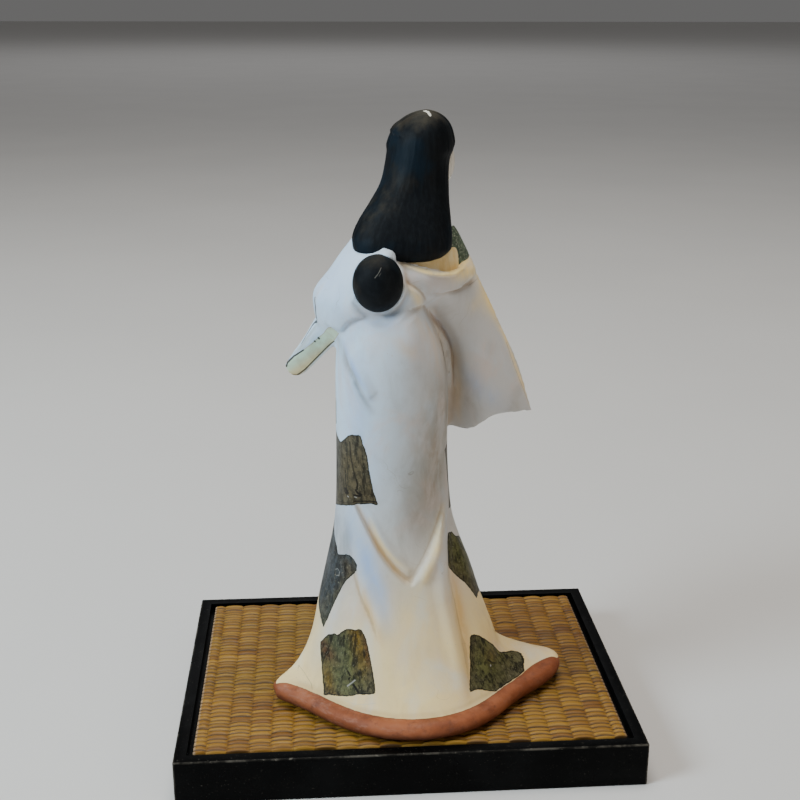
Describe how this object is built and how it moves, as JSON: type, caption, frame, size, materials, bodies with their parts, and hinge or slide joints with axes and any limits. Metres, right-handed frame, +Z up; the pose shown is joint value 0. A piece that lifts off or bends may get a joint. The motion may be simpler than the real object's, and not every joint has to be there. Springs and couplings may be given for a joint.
{
  "type": "hakata doll on a display base",
  "caption": "Painted clay figure of a robed woman with long hair carrying a child on her back, standing on a low black lacquered base with a woven rush mat in its top.",
  "frame": {"origin": "middle of the base's underside", "axes": "+Z up, -Y the way the figure faces, +X to the figure's left, +Y to her back where the child rides"},
  "size_m": [0.24, 0.173, 0.3313],
  "materials": {
    "figure": "matt painted clay with aged white ground",
    "base_frame": "black lacquer, satin, edges a little worn",
    "tatami_mat": "woven rush, aged golden brown"
  },
  "bodies": {
    "root": {"figure": "figure", "base_frame": "base_frame", "tatami_mat": "tatami_mat"}
  },
  "joints": []
}
